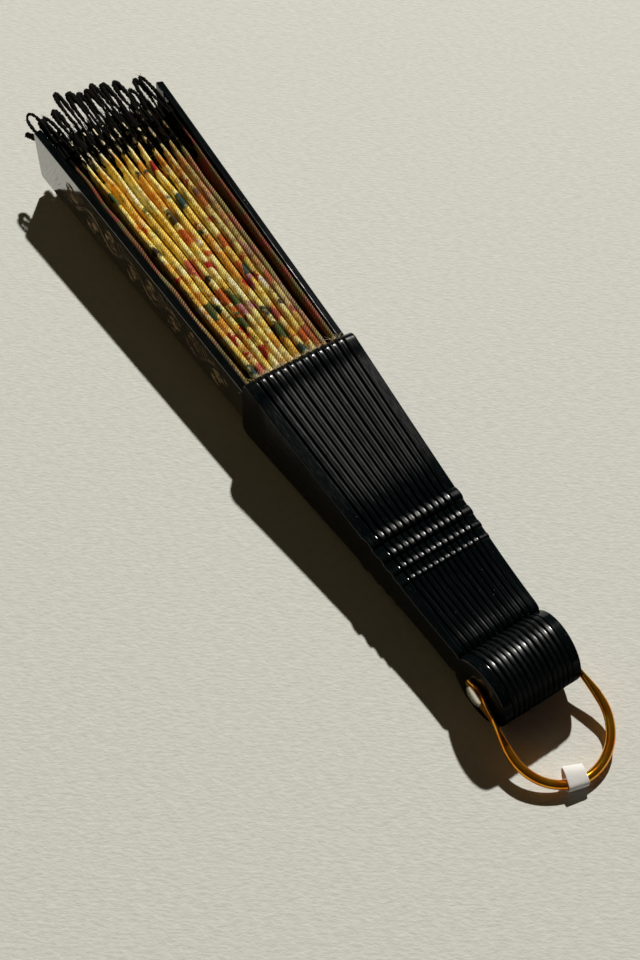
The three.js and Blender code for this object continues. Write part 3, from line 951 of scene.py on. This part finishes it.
def declareSheet(piece, section, length, carrier):
    area = sum(face.area for face in piece.data.polygons)
    cut = (max(runLengths(section)[-1] * mm, area / length * 1.001), length)


def thrown(dice, ranges):
    return Vector([dice.uniform(*ends) for ends in ranges])


# A loose hair leaves its root one way and bends another
def looseHair(dice, root, form):
    way = thrown(dice, form["way"]).normalized()
    bend = thrown(dice, form["bend"])
    reach = dice.uniform(*form["reach"])
    return [root + way * reach * s + bend * reach * s * s * form["bent"] for s in form["stations"]]


# Frayed cream threads along the raw hem behind the shoulders
fray = dict(
    perPleat=44, depth=0.075, sectionAt=0.4, middleAt=0.5, rootIn=(0.2, 1.4), backAt=104.75, highest=11.0,
    way=((-0.6, 0.5), (-0.7, 0.7), (0.0, 0.8)), bend=((-1, 1), (-1, 1), (-0.6, 0.4)), reach=(1.0, 3.6),
    bent=0.5, stations=(0, 0.35, 0.7, 1.0), widths=[1.0, 0.9, 0.8, 0.5],
)


def frayedHem(pleat):
    dice = random.Random(seeds["hem"] + pleat)
    startAt = leaf["startAt"]
    crown = foldSection(pleat, startAt + fray["sectionAt"])[0][-leaf["rollSteps"] - 3:]
    middle = middleOf(pleat, startAt + fray["middleAt"])
    paths = []
    for _ in range(fray["perPleat"]):
        y, z = dice.choice(crown)
        root = Vector((startAt + dice.uniform(*fray["rootIn"]), middle - y, z))
        points = [Vector((max(x, fray["backAt"]), y, min(z, fray["highest"])))
                  for x, y, z in looseHair(dice, root, fray)]
        paths.append((points, fray["widths"]))
    bm = strands(paths, fray["depth"], rounds=0, smooth=2)
    hem = makePiece(bm, "frayed_hem_%02d" % pleat, ["thread"])
    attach(hem, bodies[pleat - 1])
    return hem


def leafPleat(pleat):
    rows, places = ([], []), ([], [])
    scale = leaf["printScale"]
    for x in leafStations:
        before = pleat * leaf["printShift"]
        for which, section in enumerate(foldSection(pleat, x)):
            runs = runLengths(section)
            rows[which].append([Vector((x, middleOf(pleat, x) - y, z)) for y, z in section])
            places[which].append([((before + run) / scale, x / scale) for run in runs])
            before += runs[-1]
    near, far = leaf["dusk"].get(pleat, (0.0, 0.0))
    extras = dict(
        # how far each point is darkened, by darker print and painted shade
        dusk=lambda co: between(near, far, ease(co.x, *leaf["shadeAndDarkPrintEase"])),
        hem=lambda co: 1.0 - ease(co.x, *leaf["hemEase"]),
    )
    for which, panel in enumerate(panels):
        bm = layCloth(rows[which], places[which], extras)
        faceOut(bm, panel)
        piece = makePiece(bm, "cloth_%s_%02d" % (panel, pleat), ["cotton"])
        carry(piece, pleat, panel, "leaf_pleat_%02d")
        body = piece.modifiers.new("clothThickness", "SOLIDIFY")
        body.thickness = leaf["thick"]
        body.offset = -1
        section = foldSection(pleat, leaf["endAt"])[which]
        trims = [frayedHem(pleat)] if panel == "fold" else []
        declareSheet(piece, section, leaf["cut"], bodies[pleat - 1 + which])


for pleat in range(1, gaps + 1):
    leafPleat(pleat)
print("leaf folded, hem frayed:", gaps, "pleats")


# Lace edging: an open band over the cloth, loops of fuzzy cord beyond it and loose hairs
lace = dict(
    startAt=198.5, uneven=3.0, leftShift=5.0, rightShift=-3.5, dip=6.0, dipPower=1.4, jag=1.6,
    endAt=217.0, fringe=2.0, proud=0.2, steps=16, cut=0.016, cutAt=207.0, turnShift=24.0,
    cord=0.52, rough=0.24, nap=(-0.5, 1.0),
)


def laceBand(pleat, dice, which):
    count = len(foldSection(pleat, lace["startAt"])[which])
    jag, fringe = ([dice.uniform(-lace[key], lace[key]) for _ in range(count)] for key in ("jag", "fringe"))
    crownAt = lace["startAt"] + between(lace["leftShift"], lace["rightShift"], pleat / gaps)
    crownAt += random.Random(seeds["laceStart"] + pleat).uniform(-1, 1) * lace["uneven"]
    halfRoll, scale = leaf["rollSteps"] / 2, leaf["printScale"]
    before = pleat * leaf["printShift"] + which * lace["turnShift"]
    rows, places = [], []
    for n in range(lace["steps"] + 1):
        row, placeRow = [], []
        for column in range(count):
            away = min(abs(column - (count - 1 - halfRoll)) / halfRoll, 1.0) if which == 0 else 1.0
            start = crownAt - lace["dip"] * away ** lace["dipPower"] + jag[column]
            x = between(start, lace["endAt"] + fringe[column], n / lace["steps"])
            section = foldSection(pleat, x, lace["proud"])[which]
            y, z = section[column]
            row.append(Vector((x, middleOf(pleat, x) - y, z)))
            placeRow.append(((before + runLengths(section)[column]) / scale, x / scale))
        rows.append(row)
        places.append(placeRow)
    return layCloth(rows, places, {})


# Loops as shares of their length: half their width there, and how thick the cord is, with a knob at the end
loop = dict(
    stations=[(0.0, 0.55), (0.25, 0.6), (0.45, 0.85), (0.65, 0.95), (0.85, 0.75)], endAt=0.97,
    uneven=(0.85, 1.1), widths=[0.7, 0.7, 0.75, 1.1],
    knob=2.3, knobSizes=(0.45, 0.7, 0.85, 1.0), knobSide=0.8,
    rootAt=206.0, rootDrop=0.4, reach=(221.5, 229.0), bulge=6.5, bulgeAt=5.5, bulgeWide=3.4,
    tipDrop=0.8, tipAside=(-1.1, 1.1), tipHigh=(-0.9, 0.5),
    spread=1.05, twist=(-0.5, 0.5), lift=(-0.4, 0.6), firstLift=0.8,
)


def picotLoop(root, tip, side, lift, dice, knob=loop["knob"]):
    way = tip - root
    stations = loop["stations"]
    points = [root + way * s + side * w + lift * s * s for s, w in stations]
    points.append(root + way * loop["endAt"] + lift)
    points += [root + way * s - side * w * dice.uniform(*loop["uneven"]) + lift * s * s
               for s, w in reversed(stations)]
    knob *= dice.choice(loop["knobSizes"])
    beside = loop["knobSide"] * knob
    return points, loop["widths"] + [beside, knob, beside] + loop["widths"][::-1]


# The long loop on a fold's crown
def crownLoop(pleat, dice, ridge):
    x = dice.uniform(*loop["reach"])
    x += loop["bulge"] * math.exp(-((pleat - loop["bulgeAt"]) / loop["bulgeWide"]) ** 2)
    root = Vector((loop["rootAt"], middleOf(pleat, lace["cutAt"]), ridge - loop["rootDrop"]))
    tip = Vector((x, middleOf(pleat, x) + dice.uniform(*loop["tipAside"]),
                  ridge - loop["tipDrop"] + dice.uniform(*loop["tipHigh"])))
    side = Vector((0, loop["spread"], dice.uniform(*loop["twist"])))
    return picotLoop(root, tip, side, Vector((0, 0, dice.uniform(*loop["lift"]))), dice)


# Two loops that lie over the left guard: root and tip from the first pleat's middle and ridge
guardLoops = [
    dict(root=(212.0, 1.0, 0.6), tip=(228.5, 1.479, 0.7), side=(0, 1.75, -0.6), lift=(0, 0, 0.4), knob=1.1),
    dict(root=(217.0, 1.4, -1.6), tip=(225.5, 3.979, -4.5), side=(0, 0.5, 1.0), lift=(0, 0, 0), knob=2.3),
]


def guardLoop(form, dice, ridge):
    root, tip = (Vector((x, middleOf(1, x) + aside, ridge + high))
                 for x, aside, high in (form["root"], form["tip"]))
    return picotLoop(root, tip, Vector(form["side"]), Vector(form["lift"]), dice, form["knob"])


# Lower loops: the range of a loop's height and of its reach
lowLoops = dict(
    fold=[((2.0, 4.0), (216.0, 219.5))],
    turn=[((-1.5, 1.0), (216.0, 220.0)), ((-7.5, -4.0), (217.0, 224.0))],
    first=[(3.0, (216.0, 221.0)), (-1.5, (216.0, 222.0))],
    rootAt=209.0, side=0.5, aside=(-0.5, 0.5), high=(-1.5, 1.5), twist=(-0.4, 0.4), spread=1.1,
)


def lowLoop(pleat, dice, side, height, reach):
    x, rootAt = dice.uniform(*reach), lowLoops["rootAt"]
    root = Vector((rootAt, middleOf(pleat, rootAt) - side, height))
    tip = Vector((x, middleOf(pleat, x) - side + dice.uniform(*lowLoops["aside"]),
                  height + dice.uniform(*lowLoops["high"])))
    spread = Vector((0, dice.uniform(*lowLoops["twist"]), lowLoops["spread"]))
    return picotLoop(root, tip, spread, Vector((0, 0, 0)), dice)


# All loops of a panel; on the first fold the lower ones have set heights
def laceLoops(pleat, dice, panel):
    ridge = ridgeAt(pleat, leaf["endAt"]) + (loop["firstLift"] if pleat == 1 else 0.0)
    onFold = panel == "fold"
    paths = [crownLoop(pleat, dice, ridge)] if onFold else []
    lower = [(dice.uniform(*heights), reach) for heights, reach in lowLoops[panel]]
    if onFold and pleat == 1:
        paths += [guardLoop(form, dice, ridge) for form in guardLoops]
        lower = lowLoops["first"]
    side = -lowLoops["side"] if onFold else lowLoops["side"]
    return paths + [lowLoop(pleat, dice, side, height, reach) for height, reach in lower]


# Chenille nap: the cord's skin is pushed in and out at random
def roughen(bm, dice, amount):
    bm.normal_update()
    for vert in bm.verts:
        vert.co += vert.normal * dice.uniform(*lace["nap"]) * amount
    return bm


hair = dict(
    count=400, depth=0.055, onLoops=0.55, way=((-0.7, 1.0), (-1, 1), (-0.7, 1.0)), bend=((-1, 1),) * 3,
    reach=(0.35, 1.2), bent=0.6, stations=(0, 0.4, 0.75, 1.0), widths=[1.2, 1.0, 0.8, 0.5],
)


def laceHairs(paths, bandPoints, dice):
    hairs = []
    for _ in range(hair["count"]):
        if dice.random() < hair["onLoops"]:
            points = dice.choice(paths)[0]
            n = dice.randrange(len(points) - 1)
            root = points[n].lerp(points[n + 1], dice.random())
        else:
            root = dice.choice(bandPoints)
        hairs.append((looseHair(dice, root, hair), hair["widths"]))
    return strands(hairs, hair["depth"], rounds=0, smooth=1)


def laceEdge(pleat, which):
    dice = random.Random(seeds["lace"] + pleat * 2 + which)
    panel = panels[which]
    bm = laceBand(pleat, dice, which)
    faceOut(bm, panel)
    bandPoints = [vert.co.copy() for vert in bm.verts]
    paths = laceLoops(pleat, dice, panel)
    loops = roughen(strands(paths, lace["cord"], rounds=1, smooth=6), dice, lace["rough"])
    gather(loops, laceHairs(paths, bandPoints, dice))
    band = makePiece(bm, "lace_%s_%02d" % (panel, pleat), ["net"])
    picots = makePiece(loops, "picots_%s_%02d" % (panel, pleat), ["cord"])
    for piece in (band, picots):
        carry(piece, pleat, panel, "lace_edge_%02d")
    section = foldSection(pleat, lace["cutAt"], lace["proud"])[which]
    declareSheet(band, section, lace["cut"], "cloth_%s_%02d" % (panel, pleat))


for pleat in range(1, gaps + 1):
    laceEdge(pleat, 0)
    laceEdge(pleat, 1)
print("lace edging and loops made")


# Rivet: a domed head on the left, a domed cap on the right
rivet = dict(
    radius=1.5, shank=1.4, headRadius=2.95, headHeight=0.95, lip=0.25, lipTurn=-0.12,
    bailGap=0.45, tab=0.9, tabSink=0.1,
)
guardFace = gaps / 2 * stack["pitch"] - stack["stick"] / 2 + stack["guard"]
eyeFace = guardFace + rivet["bailGap"]
rivetFace = eyeFace + rivet["tab"] + rivet["tabSink"]


def domeOn(side):
    bm = bmesh.new()
    profile = [(rivet["radius"], rivetFace - rivet["shank"]), (rivet["radius"], rivetFace)]
    profile += arc((0, rivetFace + rivet["lip"]), rivet["headRadius"], rivet["headHeight"] - rivet["lip"],
                   rivet["lipTurn"], math.pi / 2, steps=10)
    verts = [bm.verts.new((reach, along * side, 0)) for reach, along in profile]
    verts[-1].co.x = 0
    edges = [bm.edges.new(pair) for pair in zip(verts, verts[1:])]
    bmesh.ops.spin(bm, geom=verts + edges, cent=(0, 0, 0), axis=(0, 1, 0), angle=2 * math.pi,
                   steps=40, use_merge=True)
    bmesh.ops.remove_doubles(bm, verts=bm.verts[:], dist=0.001)
    bmesh.ops.recalc_face_normals(bm, faces=bm.faces[:])
    smoothFaces(bm)
    return bm


for node, side in (("rivet_pin", 1), ("rivet_cap", -1)):
    settle(makePiece(domeOn(side), "domed_" + node, ["rivet"]), "left_guard", node)
print("rivet turned")


# Wire bail: flattened eyes on the rivet, two legs and a round bow, with a white tape on the bow
bail = dict(
    wire=2.5, legStart=4.6, legInset=0.9, flat=(1, 0.3, 1.15), bowCentre=17.0,
    growth=[(2.2, 0.05, 1.2), (2.6, 0.25, 1.5), (2.8, 0.35, 1.4), (2.8, 0.25, 1.25)],
    eyeRadius=3.5, eyeTurn=(0.62, 2.35), nose=[(4.4, 0.5), (3.9, 1.3)],
    tail=[(-5.0, 1.7), (-7.6, 1.1), (-8.6, 0.4)], eyeRim=0.3,
)
tape = dict(
    length=5.6, steps=8, wall=0.28, turn=0.25, lift=0.3, reach=1.95,
    line=[(4.6, 0.95), (4.0, 1.25), (3.0, 1.6), (1.6, 1.72), (0.0, 1.66), (-0.9, 1.5), (-1.45, 0.9),
          (-1.58, 0.0), (-1.45, -0.9), (-0.9, -1.45), (0.0, -1.6), (1.4, -1.5), (2.6, -0.9),
          (3.6, -0.1), (4.4, 0.55)],
    loose=(1.0, 4.6), askew=0.35, back=0.25, slope=0.12, curl=0.5, curlFrom=0.55, curlAbove=0.7,
)
bailHalf = eyeFace + bail["wire"] / 2
tapeArm = bail["bowCentre"] + bailHalf * math.cos(tape["turn"])
swingTurn = math.asin((stack["headRadius"] - tape["reach"] - tape["lift"]) / tapeArm)
hang = Matrix.Translation(pivot) @ Matrix.Rotation(-swingTurn, 4, "Y") @ millimetres


# One half of the wire: its flat end grows round, the leg runs straight and the bow is spun
def halfWire():
    bm = bmesh.new()
    half = bail["wire"] / 2
    at = Vector((-bail["legStart"], bailHalf - bail["legInset"], 0))
    facing = Matrix.Translation(at) @ Matrix.Rotation(math.pi / 2, 4, "Y")
    verts = bmesh.ops.create_circle(bm, cap_ends=True, segments=24, radius=half, matrix=facing)["verts"]
    bmesh.ops.scale(bm, verts=verts, vec=bail["flat"], space=Matrix.Translation(-at))
    ring = list(dict.fromkeys(edge for vert in verts for edge in vert.link_edges))
    straight = bail["bowCentre"] - bail["legStart"] - sum(move[0] for move in bail["growth"])
    for ahead, aside, swell in bail["growth"] + [(straight, 0.0, 1.0)]:
        step = Vector((-ahead, aside, 0))
        verts, ring = drawOut(bm, ring, step)
        at += step
        bmesh.ops.scale(bm, verts=verts, vec=(1, swell, 1), space=Matrix.Translation(-at))
    for vert in verts:
        vert.co = at + (vert.co - at).normalized() * half
    turned = bmesh.ops.spin(bm, geom=verts + ring, cent=(-bail["bowCentre"], 0, 0), axis=(0, 0, 1),
                            angle=math.pi / 2, steps=24)
    for vert in picked(turned["geom_last"], BMVert):
        vert.co.y = 0
    return bm


def wireBail():
    bm = halfWire()
    geometry = bm.verts[:] + bm.edges[:] + bm.faces[:]
    bmesh.ops.mirror(bm, geom=geometry, matrix=Matrix.Identity(4), axis="Y", merge_dist=0.001)
    bmesh.ops.remove_doubles(bm, verts=bm.verts[:], dist=0.0005)
    bmesh.ops.recalc_face_normals(bm, faces=bm.faces[:])
    smoothFaces(bm, most=4)
    # the flattened end of the wire: drawn out round the rivet, with a blunt point beyond it
    eye = arc((0, 0), bail["eyeRadius"], bail["eyeRadius"], *bail["eyeTurn"], steps=14)
    edge = bail["nose"] + eye + bail["tail"]
    for side in (1, -1):
        tab = plate(mirrored(edge), rivet["tab"], bail["eyeRim"])
        middle = side * (eyeFace + rivet["tab"] / 2 - rivet["tabSink"])
        bmesh.ops.translate(tab, verts=tab.verts, vec=(0, middle, 0))
        gather(bm, tab)
    settle(makePiece(bm, "gold_bail", ["gold"], hang), "bail", "bail")


# The tape lies over the wire from a loose inner edge, goes round it and comes back underneath
def whiteBand():
    bm = bmesh.new()
    half = tape["length"] / 2
    verts = [bm.verts.new((x, -half, z)) for x, z in tape["line"]]
    row = [bm.edges.new(pair) for pair in zip(verts, verts[1:])]
    for _ in range(tape["steps"]):
        verts, row = drawOut(bm, row, (0, tape["length"] / tape["steps"], 0))
    # the loose edge is cut askew, and one corner of it curls up
    for vert in bm.verts:
        across = vert.co.y / half
        loose = ease(vert.co.x, *tape["loose"])
        curl = max(across - tape["curlFrom"], 0.0) if vert.co.z > tape["curlAbove"] else 0.0
        vert.co.x += loose * (tape["askew"] * across - tape["back"])
        vert.co.z += loose * (tape["slope"] * across + tape["curl"] * curl)
    bmesh.ops.recalc_face_normals(bm, faces=bm.faces[:])
    smoothFaces(bm)
    bmesh.ops.translate(bm, verts=bm.verts, vec=(-bailHalf, 0, 0))
    bmesh.ops.rotate(bm, verts=bm.verts, cent=(0, 0, 0), matrix=Matrix.Rotation(-tape["turn"], 3, "Z"))
    bmesh.ops.translate(bm, verts=bm.verts, vec=(-bail["bowCentre"], 0, 0))
    band = makePiece(bm, "white_band", ["tape"], hang)
    settle(band, "bail", "bail_band")
    wall = band.modifiers.new("tapeThickness", "SOLIDIFY")
    wall.thickness = tape["wall"] * mm
    wall.offset = 0
    soft = band.modifiers.new("softTape", "SUBSURF")
    soft.levels = soft.render_levels = 2


wireBail()
whiteBand()
print("bail bent and banded")
